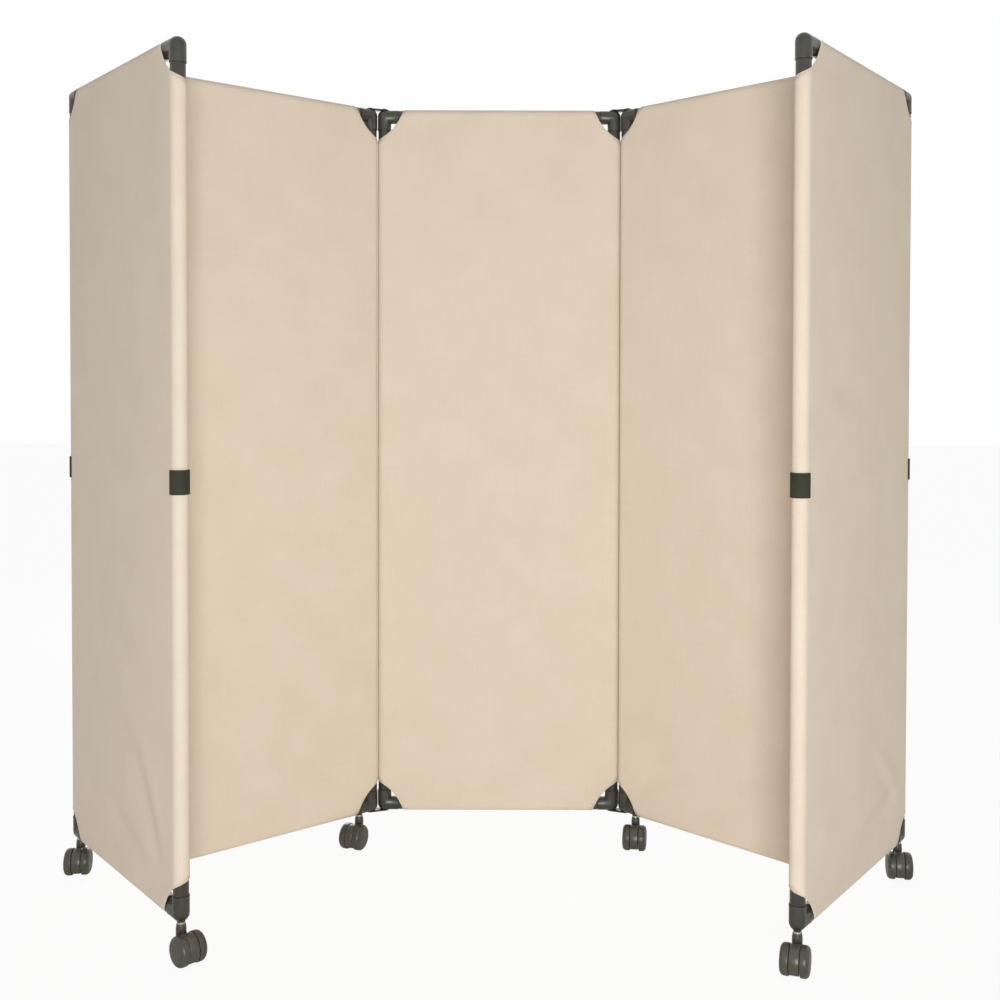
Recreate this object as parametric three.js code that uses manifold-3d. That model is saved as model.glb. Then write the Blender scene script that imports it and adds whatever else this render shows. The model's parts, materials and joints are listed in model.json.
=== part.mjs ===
// A ward privacy screen on wheels: five cloth panels on round tube frames, in millimetres with +Z up.
// The centre panel faces -Y. An inner panel is hinged to each side of it and comes forward, and a wing
// panel stands across the end of each inner panel. The origin is on the floor, under the middle.
import * as THREE from "three";
import { mergeVertices } from "three/addons/utils/BufferGeometryUtils.js";
import Module from "manifold-3d";

const wasm = await Module();
wasm.setup();
const { degToRad } = THREE.MathUtils;

// Panel frame
const panelPitch = 606; // from hinge line to hinge line
const frameHeight = 1744; // over the two rails
const tubeDiameter = 28.6;
const tubeWall = 1.5;
const elbowReach = 49; // from the outer corner to the end of an elbow's arm
const elbowRounding = 11; // of the outer corner of an elbow without a bore
const seatDiameter = 17; // of the flat at the mouth of an elbow's bore
const spigotLength = 22;
const footReach = 65; // the same as elbowReach, on the elbow over an inner panel's caster
const footSetback = 34; // from that elbow's post to its caster's stem

// Hinges
const postSpacing = 35.5; // between the two posts that share a hinge link
const pinDiameter = 8;
const pinLength = 32;
const linkThickness = 3;
const linkWidth = 22;
const headDiameter = 14;
const headHeight = 2.5;
const wingStandoff = 50; // from an inner panel's end post to the middle of its wing
const bracketThickness = 4;
const bracketWidth = 24;
const bracketSetback = 22; // from the middle of the wing to its bracket's upright leg

// Covers
const clothThickness = 1.8;
const biteAlongRail = 63; // corner opening, from the corner of the sleeves
const biteAlongPost = 72;
const biteBulge = 8; // of the opening's edge, from its chord

// Clips at mid height on the wing posts
const clipHeight = 49;
const clipThickness = 2.8;
const clipWrap = degToRad(196);
const studDiameter = 7;

// Casters
const casterHeight = 75.4; // from the floor to the top of the collar
const wheelDiameter = 60;
const wheelWidth = 17;
const wheelRounding = 6; // of a wheel's outer edge
const wheelDome = 1.2; // of a wheel's outer face
const axleDiameter = 7;
const trail = 28; // from the stem to the axle
const webThickness = 20;
const webDiameter = 59; // of the round web between the wheels
const webClearance = 9; // from the floor to the flat under the web
const neckDiameter = 21;
const neckTopDiameter = 18;
const neckDepth = 36; // down into the web
const collarDiameter = 17;
const collarHeight = 3.4;
const stemDiameter = 10;
const stemLength = 28;

// Clearances
const seatGap = 0.3; // between pieces that rest on each other
const sleeveSlack = 0.9; // between a tube and the cloth round it
const spigotFit = 0.6; // between a spigot and the tube round it
const pinFit = 0.6; // between a pin, stem or axle and its hole
const wheelGap = 1; // between a wheel and the web
const clipGap = 0.5; // between a clip and the cloth under it
const slitGap = 1; // round a bracket where it leaves the sleeve
const overrun = 2; // of every cut past the face that it leaves by
const mergeTolerance = 1e-3;

// Sides of the round shapes
const tubeSides = 12;
const pinSides = 8;
const wheelSides = 16;
const roundingSteps = 2;
const biteSteps = 4;
const clipSteps = 8;

// Rest pose, seen from above, anticlockwise from straight
const leftTurn = degToRad(39.8);
const rightTurn = degToRad(-43.2);
const rightWingTilt = degToRad(7);
// The way each caster trails, anticlockwise from +X
const casterHeadings = {
  left_hinge: degToRad(-110),
  left_near: degToRad(-45),
  left_far: degToRad(-82),
  right_hinge: degToRad(-100),
  right_near: degToRad(-110),
  right_far: degToRad(-98),
};

const tubeRadius = tubeDiameter / 2;
const pinRadius = pinDiameter / 2;
const stemRadius = stemDiameter / 2;
const sleeveRadius = tubeRadius + sleeveSlack + clothThickness;
const postOffset = (panelPitch - postSpacing) / 2; // from a panel's middle to its post
const elbowArm = elbowReach - tubeRadius;
const footArm = footReach - tubeRadius;
const bossHeight = seatGap + linkThickness; // of a stem's seat, from the frame
const wheelRadius = wheelDiameter / 2 / Math.cos(Math.PI / wheelSides); // to the corners of its sides
const frameBottom = casterHeight + seatGap + bossHeight;
const frameTop = frameBottom + frameHeight;
const bottomAxis = frameBottom + tubeRadius;
const topAxis = frameTop - tubeRadius;
const midHeight = (frameBottom + frameTop) / 2;

const paint = { color: 0x4d4b44, roughness: 0.42, metalness: 0.35 };
const materials = {
  cloth: new THREE.MeshStandardMaterial({ color: 0xd9c7ab, roughness: 0.95, metalness: 0 }),
  tube: new THREE.MeshStandardMaterial({ ...paint, color: 0x45433d }),
  elbow: new THREE.MeshStandardMaterial(paint),
  link: new THREE.MeshStandardMaterial({ ...paint, color: 0x57544c }),
  casterBody: new THREE.MeshStandardMaterial({ color: 0x4b493f, roughness: 0.38, metalness: 0.1 }),
  wheel: new THREE.MeshStandardMaterial({ color: 0x3b3a34, roughness: 0.55, metalness: 0 }),
};
for (const material of Object.values(materials)) material.flatShading = true;

// Closed geometry as a solid that can be joined and cut.
function solid(geometry) {
  geometry.deleteAttribute("normal");
  geometry.deleteAttribute("uv");
  const merged = mergeVertices(geometry, mergeTolerance);
  const corners = merged.index.array;
  const triangles = [];
  for (let i = 0; i < corners.length; i += 3) {
    const [a, b, c] = corners.slice(i, i + 3);
    if (a !== b && b !== c && c !== a) triangles.push(a, b, c);
  }
  return new wasm.Manifold(
    new wasm.Mesh({
      numProp: 3,
      vertProperties: merged.attributes.position.array,
      triVerts: new Uint32Array(triangles),
    }),
  );
}

function joined(pieces) {
  return pieces.reduce((whole, piece) => whole.add(piece));
}

function without(shape, cuts) {
  return cuts.reduce((rest, cut) => rest.subtract(cut), shape);
}

function mesh(name, shape, material) {
  const made = shape.getMesh();
  const geometry = new THREE.BufferGeometry();
  geometry.setAttribute("position", new THREE.BufferAttribute(made.vertProperties, made.numProp));
  geometry.setIndex(new THREE.BufferAttribute(made.triVerts, 1));
  geometry.computeVertexNormals();
  const piece = new THREE.Mesh(geometry, material);
  piece.name = name;
  return piece;
}

// A round bar along one axis, through the point at.
function bar(radius, sides, axis, from, to, at = {}) {
  const geometry = new THREE.CylinderGeometry(radius, radius, to - from, sides);
  geometry.rotateY(Math.PI / sides);
  if (axis === "x") geometry.rotateZ(-Math.PI / 2);
  if (axis === "z") geometry.rotateX(Math.PI / 2);
  const middle = { x: 0, y: 0, z: 0, ...at, [axis]: (from + to) / 2 };
  geometry.translate(middle.x, middle.y, middle.z);
  return solid(geometry);
}

// A block from its lowest to its highest corner.
function block(low, high) {
  const size = high.map((value, i) => value - low[i]);
  const geometry = new THREE.BoxGeometry(...size);
  geometry.translate(...high.map((value, i) => (value + low[i]) / 2));
  return solid(geometry);
}

// A turned shape round Z, from a profile of [radius, height] points that goes up the outside.
function turned(profile, sides) {
  const points = profile.map(([radius, height]) => new THREE.Vector2(radius, height));
  const geometry = new THREE.LatheGeometry(points, sides, Math.PI / sides);
  geometry.rotateX(Math.PI / 2);
  return geometry;
}

// Profile points of a quarter round from [radius, height - rounding] to [radius - rounding, height].
function shoulder(radius, height, rounding) {
  return Array.from({ length: roundingSteps + 1 }, (_, i) => {
    const angle = ((i / roundingSteps) * Math.PI) / 2;
    return [
      radius - rounding + rounding * Math.cos(angle),
      height - rounding + rounding * Math.sin(angle),
    ];
  });
}

// An outline in X and Z, pulled to a thickness that is centred on Y.
function plate(outline, thickness, steps) {
  const geometry = new THREE.ExtrudeGeometry(outline, {
    depth: thickness,
    bevelEnabled: false,
    curveSegments: steps,
  });
  geometry.rotateX(Math.PI / 2);
  geometry.translate(0, thickness / 2, 0);
  return geometry;
}

// Turns what is made for a frame's top left corner to any of the four corners.
function turnToCorner(piece, side, level) {
  if (side > 0 && level > 0) piece.rotateZ(Math.PI);
  if (side < 0 && level < 0) piece.rotateX(Math.PI);
  if (side > 0 && level < 0) piece.rotateY(Math.PI);
  return piece;
}

// An elbow for the top left corner, with its arms along +X and -Z and its middle at the tubes' axes.
// The bore runs down its upright arm, from a seat whose face is the given height above the frame. A foot
// is a longer arm along +X with a seat and a bore of its own, for a caster's stem.
function elbow(boreRadius, seatHeight, hasFoot) {
  const spigotRadius = tubeRadius - tubeWall - spigotFit;
  const rounding = boreRadius ? tubeRadius - seatDiameter / 2 : elbowRounding;
  const face = tubeRadius + seatHeight;
  const arm = (reach) => [
    [0, -reach - spigotLength],
    [spigotRadius, -reach - spigotLength],
    [spigotRadius, -reach],
    [tubeRadius, -reach],
  ];
  const corner = shoulder(tubeRadius, tubeRadius, rounding);
  if (seatHeight) corner.push([tubeRadius - rounding, face]);
  const upright = solid(turned([...arm(elbowArm), ...corner, [0, face]], tubeSides));
  const acrossProfile = [...arm(hasFoot ? footArm : elbowArm), [tubeRadius, 0], [0, 0]];
  const pieces = [upright, solid(turned(acrossProfile, tubeSides).rotateY(-Math.PI / 2))];
  const cuts = [];
  if (boreRadius) {
    const tip = elbowArm + spigotLength;
    cuts.push(bar(boreRadius, pinSides, "z", -tip - overrun, face + overrun));
  }
  if (hasFoot) {
    const at = { x: footSetback };
    const footFace = tubeRadius + bossHeight;
    pieces.push(bar(seatDiameter / 2, tubeSides, "z", 0, footFace, at));
    cuts.push(bar(stemRadius + pinFit, pinSides, "z", -tubeRadius - overrun, footFace + overrun, at));
  }
  return without(joined(pieces), cuts);
}

// The opening cut out of a cover's top left corner, from the outer corner of its sleeves.
function bite() {
  const start = new THREE.Vector2(biteAlongRail, 0);
  const end = new THREE.Vector2(0, -biteAlongPost);
  const chord = start.distanceTo(end);
  const radius = (chord * chord) / (8 * biteBulge) + biteBulge / 2;
  const outward = new THREE.Vector2(biteAlongPost, -biteAlongRail).divideScalar(chord);
  const centre = start.clone().add(end).divideScalar(2);
  centre.addScaledVector(outward, biteBulge - radius);
  const angleTo = (point) => point.clone().sub(centre).angle();
  const outline = new THREE.Shape();
  outline.moveTo(-overrun, overrun);
  outline.lineTo(start.x, overrun);
  outline.lineTo(start.x, start.y);
  outline.absarc(centre.x, centre.y, radius, angleTo(start), angleTo(end), true);
  outline.lineTo(-overrun, end.y);
  outline.closePath();
  return plate(outline, 2 * (sleeveRadius + overrun), biteSteps);
}

// A panel's cloth: a flat field with a sleeve round each tube of the frame. The field is flush with the
// sleeves on the front, so they stand out on the back only, where a wing's sleeves have slits for its
// brackets.
function cover(isWing) {
  const pocketRadius = tubeRadius + sleeveSlack;
  const posts = (radius, extra) =>
    [-1, 1].map((side) =>
      bar(radius, tubeSides, "z", bottomAxis - extra, topAxis + extra, { x: side * postOffset }),
    );
  const rails = (radius, extra) =>
    [bottomAxis, topAxis].map((z) =>
      bar(radius, tubeSides, "x", -postOffset - extra, postOffset + extra, { z }),
    );
  const face = sleeveRadius * Math.cos(Math.PI / tubeSides);
  const field = block([-postOffset, -face, bottomAxis], [postOffset, clothThickness - face, topAxis]);
  const cuts = [...posts(pocketRadius, sleeveRadius), ...rails(pocketRadius, sleeveRadius)];
  for (const side of [-1, 1]) {
    for (const level of [-1, 1]) {
      const opening = turnToCorner(bite(), side, level);
      const cornerHeight = level > 0 ? topAxis + sleeveRadius : bottomAxis - sleeveRadius;
      opening.translate(side * (postOffset + sleeveRadius), 0, cornerHeight);
      cuts.push(solid(opening));
    }
  }
  if (isWing) {
    const slitHalf = bracketWidth / 2 + slitGap;
    const slitRise = bracketThickness / 2 + slitGap;
    for (const z of [bottomAxis, topAxis]) {
      cuts.push(
        block([-slitHalf, 0, z - slitRise], [slitHalf, sleeveRadius + overrun, z + slitRise]),
      );
    }
    const out = postOffset + sleeveRadius + overrun;
    const studHole = studDiameter / 2 + pinFit;
    cuts.push(bar(studHole, pinSides, "x", -out, -postOffset, { z: midHeight }));
    cuts.push(bar(studHole, pinSides, "x", postOffset, out, { z: midHeight }));
  }
  return without(joined([field, ...posts(sleeveRadius, 0), ...rails(sleeveRadius, 0)]), cuts);
}

// A post at x = 0. A clip on the given side stands off the tube on a stud, outside the cloth.
function post(clipSide) {
  const start = bottomAxis + elbowArm + seatGap;
  const end = topAxis - elbowArm - seatGap;
  const pieces = [bar(tubeRadius, tubeSides, "z", start, end)];
  if (clipSide) {
    const inner = sleeveRadius + clipGap;
    const outer = inner + clipThickness;
    const facing = clipSide > 0 ? 0 : Math.PI;
    const outline = new THREE.Shape();
    outline.absarc(0, 0, outer, facing - clipWrap / 2, facing + clipWrap / 2, false);
    outline.absarc(0, 0, inner, facing + clipWrap / 2, facing - clipWrap / 2, true);
    outline.closePath();
    const clip = new THREE.ExtrudeGeometry(outline, {
      depth: clipHeight,
      bevelEnabled: false,
      curveSegments: clipSteps,
    });
    clip.translate(0, 0, midHeight - clipHeight / 2);
    const reach = inner + clipThickness / 2;
    const [from, to] = clipSide > 0 ? [0, reach] : [-reach, 0];
    pieces.push(solid(clip), bar(studDiameter / 2, pinSides, "x", from, to, { z: midHeight }));
  }
  const bore = bar(tubeRadius - tubeWall, tubeSides, "z", start - overrun, end + overrun);
  return without(joined(pieces), [bore]);
}

// A rail along X at z = 0. A wing's rail carries the bracket that reaches to the inner panel's end post,
// and an inner panel's bottom rail ends at its foot on the given side.
function rail(bracketLevel, footSide) {
  const half = postOffset - elbowArm - seatGap;
  const footHalf = postOffset - footArm - seatGap;
  const start = footSide < 0 ? -footHalf : -half;
  const end = footSide > 0 ? footHalf : half;
  const pieces = [bar(tubeRadius, tubeSides, "x", start, end)];
  if (bracketLevel) {
    const wide = bracketWidth / 2;
    const thick = bracketThickness / 2;
    const under = tubeRadius + seatGap;
    const over = under + bracketThickness;
    const legFrom = bracketSetback - thick;
    const legTo = bracketSetback + thick;
    const at = { y: wingStandoff };
    const level = ([x, y, from], [tox, toy, to]) =>
      bracketLevel > 0 ? block([x, y, from], [tox, toy, to]) : block([x, y, -to], [tox, toy, -from]);
    const upright = (radius, sides, from, to) =>
      bracketLevel > 0 ? bar(radius, sides, "z", from, to, at) : bar(radius, sides, "z", -to, -from, at);
    pieces.push(
      level([-wide, 0, -thick], [wide, legTo, thick]),
      level([-wide, legFrom, -thick], [wide, legTo, over]),
      level([-wide, legFrom, under], [wide, wingStandoff, over]),
      upright(wide, tubeSides, under, over),
      upright(pinRadius, pinSides, over - pinLength, over),
      upright(headDiameter / 2, pinSides, under, over + headHeight),
    );
  }
  const bore = bar(tubeRadius - tubeWall, tubeSides, "x", start - overrun, end + overrun);
  return without(joined(pieces), [bore]);
}

// A hinge link round the centre panel's post, with its second axis on the given side.
// Its tie rod joins the plate over the two posts to the plate under them.
function link(side) {
  const away = { x: side * postSpacing };
  const topFrom = frameTop + seatGap;
  const topTo = topFrom + linkThickness;
  const bottomTo = frameBottom - seatGap;
  const bottomFrom = bottomTo - linkThickness;
  const [near, far] = side > 0 ? [0, postSpacing] : [-postSpacing, 0];
  const half = linkWidth / 2;
  const pieces = [];
  for (const [from, to] of [
    [topFrom, topTo],
    [bottomFrom, bottomTo],
  ]) {
    pieces.push(
      block([near, -half, from], [far, half, to]),
      bar(half, tubeSides, "z", from, to),
      bar(half, tubeSides, "z", from, to, away),
    );
  }
  const head = headDiameter / 2;
  pieces.push(
    bar(pinRadius, pinSides, "z", bottomFrom, topTo),
    bar(head, pinSides, "z", topFrom, topTo + headHeight),
    bar(head, pinSides, "z", topFrom, topTo + headHeight, away),
    bar(pinRadius, pinSides, "z", topTo - pinLength, topTo, away),
    bar(pinRadius, pinSides, "z", bottomFrom, bottomFrom + pinLength, away),
  );
  return joined(pieces);
}

// Two wheels on one axle along Y, at the origin, with a flat of each tread level at the bottom.
function wheelSet() {
  const inside = webThickness / 2 + wheelGap;
  const outside = inside + wheelWidth;
  const wheel = turned(
    [
      [0, inside],
      [wheelRadius, inside],
      ...shoulder(wheelRadius, outside, wheelRounding),
      [0, outside + wheelDome],
    ],
    wheelSides,
  );
  const left = wheel.clone().rotateX(-Math.PI / 2);
  const right = wheel.clone().rotateX(Math.PI / 2);
  const axle = bar(axleDiameter / 2, pinSides, "y", -inside - overrun, inside + overrun);
  return joined([solid(left), solid(right), axle]);
}

// A caster's swivelling body, with its stem at the origin on the floor and its wheels towards +X. A round
// web fills the room between the wheels, and the neck goes round it from the stem to the web.
function casterBody() {
  const axleHeight = wheelDiameter / 2;
  const drop = Math.asin((axleHeight - webClearance) / (webDiameter / 2));
  const web = new THREE.Shape();
  web.absarc(trail, axleHeight, webDiameter / 2, -drop, Math.PI + drop, false);
  web.closePath();
  const collarFrom = casterHeight - collarHeight;
  const neck = turned(
    [
      [0, collarFrom - neckDepth],
      [neckDiameter / 2, collarFrom - neckDepth],
      [neckDiameter / 2, collarFrom - neckDepth / 2],
      [neckTopDiameter / 2, collarFrom],
      [0, collarFrom],
    ],
    tubeSides,
  );
  const whole = joined([
    solid(plate(web, webThickness, wheelSides)),
    solid(neck),
    bar(collarDiameter / 2, tubeSides, "z", collarFrom - overrun, casterHeight),
    bar(stemRadius, pinSides, "z", collarFrom, casterHeight + stemLength),
  ]);
  const at = { x: trail, z: axleHeight };
  const roomRadius = (wheelRadius + wheelGap) / Math.cos(Math.PI / wheelSides);
  const roomFrom = webThickness / 2;
  const roomTo = roomFrom + wheelGap + wheelWidth;
  const wheelRoom = [-1, 1].map((side) => {
    const [low, high] = side > 0 ? [roomFrom, roomTo] : [-roomTo, -roomFrom];
    return bar(roomRadius, wheelSides, "y", low, high, at);
  });
  const axleHole = bar(axleDiameter / 2 + pinFit, pinSides, "y", -webThickness, webThickness, at);
  return without(whole, [...wheelRoom, axleHole]);
}

const shapes = {
  plainElbow: elbow(0, 0),
  pinElbow: elbow(pinRadius + pinFit, 0),
  footElbow: elbow(pinRadius + pinFit, 0, true),
  bossElbow: elbow(stemRadius + pinFit, bossHeight),
  cover: cover(false),
  wingCover: cover(true),
  post: post(0),
  casterBody: casterBody(),
  wheelSet: wheelSet(),
};

// The frame and cover of one panel. ends names the post at -X and the one at +X, and elbows gives the
// shape of each of the four elbows.
function panel(name, ends, elbows, isWing) {
  const footSide = [-1, 1].find((_, i) => elbows.bottom[ends[i]] === shapes.footElbow) ?? 0;
  const group = new THREE.Group();
  group.add(mesh(`${name}_cover`, isWing ? shapes.wingCover : shapes.cover, materials.cloth));
  ends.forEach((end, i) => {
    const side = i ? 1 : -1;
    const upright = mesh(`${name}_${end}_post`, isWing ? post(side) : shapes.post, materials.tube);
    upright.position.x = side * postOffset;
    group.add(upright);
    for (const [height, level] of [
      ["bottom", -1],
      ["top", 1],
    ]) {
      const corner = mesh(`${name}_${height}_${end}_elbow`, elbows[height][end], materials.elbow);
      turnToCorner(corner, side, level);
      corner.position.set(side * postOffset, 0, level > 0 ? topAxis : bottomAxis);
      group.add(corner);
    }
  });
  for (const [height, level] of [
    ["bottom", -1],
    ["top", 1],
  ]) {
    const tube = rail(isWing ? level : 0, level < 0 ? footSide : 0);
    const cross = mesh(`${name}_${height}_rail`, tube, materials.tube);
    cross.position.z = level > 0 ? topAxis : bottomAxis;
    group.add(cross);
  }
  return group;
}

// A caster under a post of a group that is itself turned by the given angle.
function caster(name, x, groupTurn) {
  const swivel = new THREE.Group();
  swivel.name = `${name}_swivel`;
  swivel.position.x = x;
  swivel.rotation.z = casterHeadings[name] - groupTurn;
  swivel.add(mesh(`${name}_caster_body`, shapes.casterBody, materials.casterBody));
  const wheels = mesh(`${name}_caster_wheels`, shapes.wheelSet, materials.wheel);
  wheels.position.set(trail, 0, wheelDiameter / 2);
  swivel.add(wheels);
  return swivel;
}

// A group that turns about an upright axis.
function pivot(name, x, turn) {
  const group = new THREE.Group();
  group.name = name;
  group.position.x = x;
  group.rotation.z = turn;
  return group;
}

// The link, inner panel and wing on one side of the centre panel, -1 for the left and 1 for the right.
function half(name, side, turn, wingTilt) {
  const linkPivot = pivot(`${name}_link_pivot`, side * postOffset, turn / 2);
  linkPivot.add(mesh(`${name}_link`, link(side), materials.link));

  const panelPivot = pivot(`${name}_panel_pivot`, side * postSpacing, turn / 2);
  linkPivot.add(panelPivot);
  const inner = panel(
    name,
    side < 0 ? ["end", "hinge"] : ["hinge", "end"],
    {
      top: { hinge: shapes.pinElbow, end: shapes.pinElbow },
      bottom: { hinge: shapes.footElbow, end: shapes.pinElbow },
    },
    false,
  );
  inner.position.x = side * postOffset;
  inner.add(caster(`${name}_hinge`, side * (footSetback - postOffset), turn));
  panelPivot.add(inner);

  const wingPivot = pivot(`${name}_wing_pivot`, side * postOffset, wingTilt);
  inner.add(wingPivot);
  const wing = panel(
    `${name}_wing`,
    side < 0 ? ["far", "near"] : ["near", "far"],
    {
      top: { near: shapes.plainElbow, far: shapes.plainElbow },
      bottom: { near: shapes.bossElbow, far: shapes.bossElbow },
    },
    true,
  );
  wing.position.x = side * wingStandoff;
  wing.rotation.z = (side * Math.PI) / 2;
  const wingTurn = turn + wingTilt + wing.rotation.z;
  wing.add(caster(`${name}_near`, -side * postOffset, wingTurn));
  wing.add(caster(`${name}_far`, side * postOffset, wingTurn));
  wingPivot.add(wing);
  return linkPivot;
}

const screen = new THREE.Group();
screen.add(
  panel(
    "centre",
    ["left", "right"],
    {
      top: { left: shapes.pinElbow, right: shapes.pinElbow },
      bottom: { left: shapes.pinElbow, right: shapes.pinElbow },
    },
    false,
  ),
  half("left", -1, leftTurn, 0),
  half("right", 1, rightTurn, rightWingTilt),
);

// The origin goes under the middle of the whole screen.
screen.updateMatrixWorld(true);
const middle = new THREE.Box3().setFromObject(screen, true).getCenter(new THREE.Vector3());
screen.position.set(-middle.x, -middle.y, 0);

export default screen;
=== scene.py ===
import json
import math
import bpy
import bmesh
from mathutils import Matrix, Vector, noise


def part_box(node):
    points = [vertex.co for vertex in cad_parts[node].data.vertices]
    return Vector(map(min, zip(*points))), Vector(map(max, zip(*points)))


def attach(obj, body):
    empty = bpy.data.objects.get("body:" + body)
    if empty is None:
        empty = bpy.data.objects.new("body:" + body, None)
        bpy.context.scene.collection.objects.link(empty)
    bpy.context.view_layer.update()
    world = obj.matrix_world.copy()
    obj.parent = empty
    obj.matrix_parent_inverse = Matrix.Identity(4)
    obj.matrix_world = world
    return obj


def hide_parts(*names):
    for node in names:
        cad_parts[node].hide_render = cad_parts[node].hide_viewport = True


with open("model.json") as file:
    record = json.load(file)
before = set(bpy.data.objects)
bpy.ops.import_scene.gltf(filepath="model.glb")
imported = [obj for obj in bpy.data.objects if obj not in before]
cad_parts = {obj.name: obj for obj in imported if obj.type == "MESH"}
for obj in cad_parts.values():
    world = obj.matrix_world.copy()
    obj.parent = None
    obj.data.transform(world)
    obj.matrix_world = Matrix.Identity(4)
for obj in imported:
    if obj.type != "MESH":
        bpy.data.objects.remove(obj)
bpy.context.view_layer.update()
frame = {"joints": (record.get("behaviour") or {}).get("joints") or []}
joints = {joint["name"]: Vector(joint["pos_m"]) for joint in frame["joints"]}

# Metres throughout, as in the frame. Every panel has its own axes: X from post to post, Z up.
panel = {
    "postSpacing": 0.0355,  # between the two posts of a hinge
    "tubeRadius": 0.0143,  # of the solids' tubes, on which plates and brackets rest
    "elbowArm": 0.0347,  # from the tubes' axes to the end of an elbow's arm
    "footArm": 0.0507,  # the same, over an inner panel's caster
    "gap": 0.0003,  # between pieces that rest on each other
}
panel["post"] = (joints["right_link_fold"] - joints["left_link_fold"]).length / 2
panel["bottom"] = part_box("centre_bottom_left_elbow")[0][2] + panel["tubeRadius"]
panel["top"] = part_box("centre_top_left_elbow")[1][2] - panel["tubeRadius"]
panel["middle"] = (panel["bottom"] + panel["top"]) / 2
panel["half"] = (panel["top"] - panel["bottom"]) / 2


def placeBetween(start, end):
    along = end - start
    middle = (start + end) / 2
    turn = math.atan2(along.y, along.x)
    return Matrix.Translation((middle.x, middle.y, 0)) @ Matrix.Rotation(turn, 4, "Z")


places = {
    "centre": placeBetween(joints["left_link_fold"], joints["right_link_fold"]),
    "left": placeBetween(joints["left_wing_turn"], joints["left_panel_fold"]),
    "right": placeBetween(joints["right_panel_fold"], joints["right_wing_turn"]),
    "left_wing": placeBetween(joints["left_far_swivel"], joints["left_near_swivel"]),
    "right_wing": placeBetween(joints["right_near_swivel"], joints["right_far_swivel"]),
}
bodies = {
    "centre": "centre_panel",
    "left": "left_panel",
    "right": "right_panel",
    "left_wing": "left_wing",
    "right_wing": "right_wing",
}
ends = {  # the post at -X and the one at +X
    "centre": ("left", "right"),
    "left": ("end", "hinge"),
    "right": ("hinge", "end"),
    "left_wing": ("far", "near"),
    "right_wing": ("near", "far"),
}

# Camera at the photograph's viewing angle
cameraSet = {
    "fromCentrePanel": (0.0836, -2.9824, 1.1446),
    "pitch": -1.225,
    "roll": -0.14,
    "lens": 42.98,
    "sensor": 36,
    "shift": (-0.0323, -0.0896),
}
cameraData = bpy.data.cameras.new("camera")
cameraData.lens = cameraSet["lens"]
cameraData.sensor_width = cameraSet["sensor"]
cameraData.shift_x, cameraData.shift_y = cameraSet["shift"]
camera = bpy.data.objects.new("camera", cameraData)
bpy.context.scene.collection.objects.link(camera)
camera.location = places["centre"].translation + Vector(cameraSet["fromCentrePanel"])
camera.rotation_euler = (math.radians(90 + cameraSet["pitch"]), math.radians(cameraSet["roll"]), 0)
bpy.context.scene.camera = camera
print("camera placed")


# Shader helpers
def newMaterial(name, color, roughness, metallic=0.0, specular=0.5):
    material = bpy.data.materials.new(name)
    material.use_nodes = True
    shader = material.node_tree.nodes["Principled BSDF"]
    shader.inputs["Base Color"].default_value = (*color, 1)
    shader.inputs["Roughness"].default_value = roughness
    shader.inputs["Metallic"].default_value = metallic
    shader.inputs["Specular IOR Level"].default_value = specular
    return material, material.node_tree, shader


def addNode(tree, kind, links=None, **values):
    node = tree.nodes.new(kind)
    for key, value in values.items():
        if key in node.inputs:
            node.inputs[key].default_value = value
        else:
            setattr(node, key, value)
    for key, source in (links or {}).items():
        tree.links.new(source, node.inputs[key])
    return node


def mathNode(tree, operation, first, second=None):
    node = tree.nodes.new("ShaderNodeMath")
    node.operation = operation
    for socket, value in zip(node.inputs, (first, second)):
        if value is None:
            continue
        if isinstance(value, (int, float)):
            socket.default_value = value
        else:
            tree.links.new(value, socket)
    return node.outputs[0]


def srgb(red, green, blue):
    def linear(value):
        share = value / 255
        return share / 12.92 if share <= 0.04045 else ((share + 0.055) / 1.055) ** 2.4

    return tuple(linear(value) for value in (red, green, blue))


# A ramp between two colours, each given with its position
def rampNode(tree, source, stops):
    node = tree.nodes.new("ShaderNodeValToRGB")
    for element, (position, color) in zip(node.color_ramp.elements, stops):
        element.position = position
        element.color = (*color, 1)
    tree.links.new(source, node.inputs["Fac"])
    return node.outputs["Color"]


def mixColors(tree, share, source, color):
    mix = tree.nodes.new("ShaderNodeMix")
    mix.data_type = "RGBA"
    tree.links.new(share, mix.inputs["Factor"])
    tree.links.new(source, mix.inputs["A"])
    mix.inputs["B"].default_value = (*color, 1)
    return mix.outputs["Result"]


def mixShaders(tree, share, first, second):
    mix = addNode(tree, "ShaderNodeMixShader")
    for socket, source in zip(mix.inputs, (share, first, second)):
        tree.links.new(source, socket)
    return mix.outputs[0]


# Woven cloth. Its UV map holds the flat pattern in metres, so threads and stitches have their real size.
clothLook = {
    "light": srgb(232, 218, 200),
    "dark": srgb(223, 208, 188),
    "toneRange": (0.28, 0.54),  # from dark to light
    "roughness": 0.95,
    "specular": 0.1,
    "sheen": 0.03,
    "sheenRoughness": 0.6,
    # noises: scale, detail and share of the tone
    "cloud": (9.0, 5.0, 0.32),
    "fleck": (260.0, 2.0, 0.2),
    "streak": (1.0, 2.0, 0.15),
    "streakScales": (620.0, 9.0),  # across a thread and along it
    "threadPitch": 0.0011,
    "threadDepth": 0.00016,
    "slub": 900.0,
    "bump": 0.55,
    "threadShare": 0.5,  # of the bump's height
    "stitchShare": 0.4,
    "stitch": srgb(224, 209, 188),
    "stitchLine": 0.0255,  # from the posts' and rails' axes
    "stitchLength": 0.0034,
    "stitchPitch": 0.0046,
    "stitchWidth": 0.0006,
}


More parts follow.
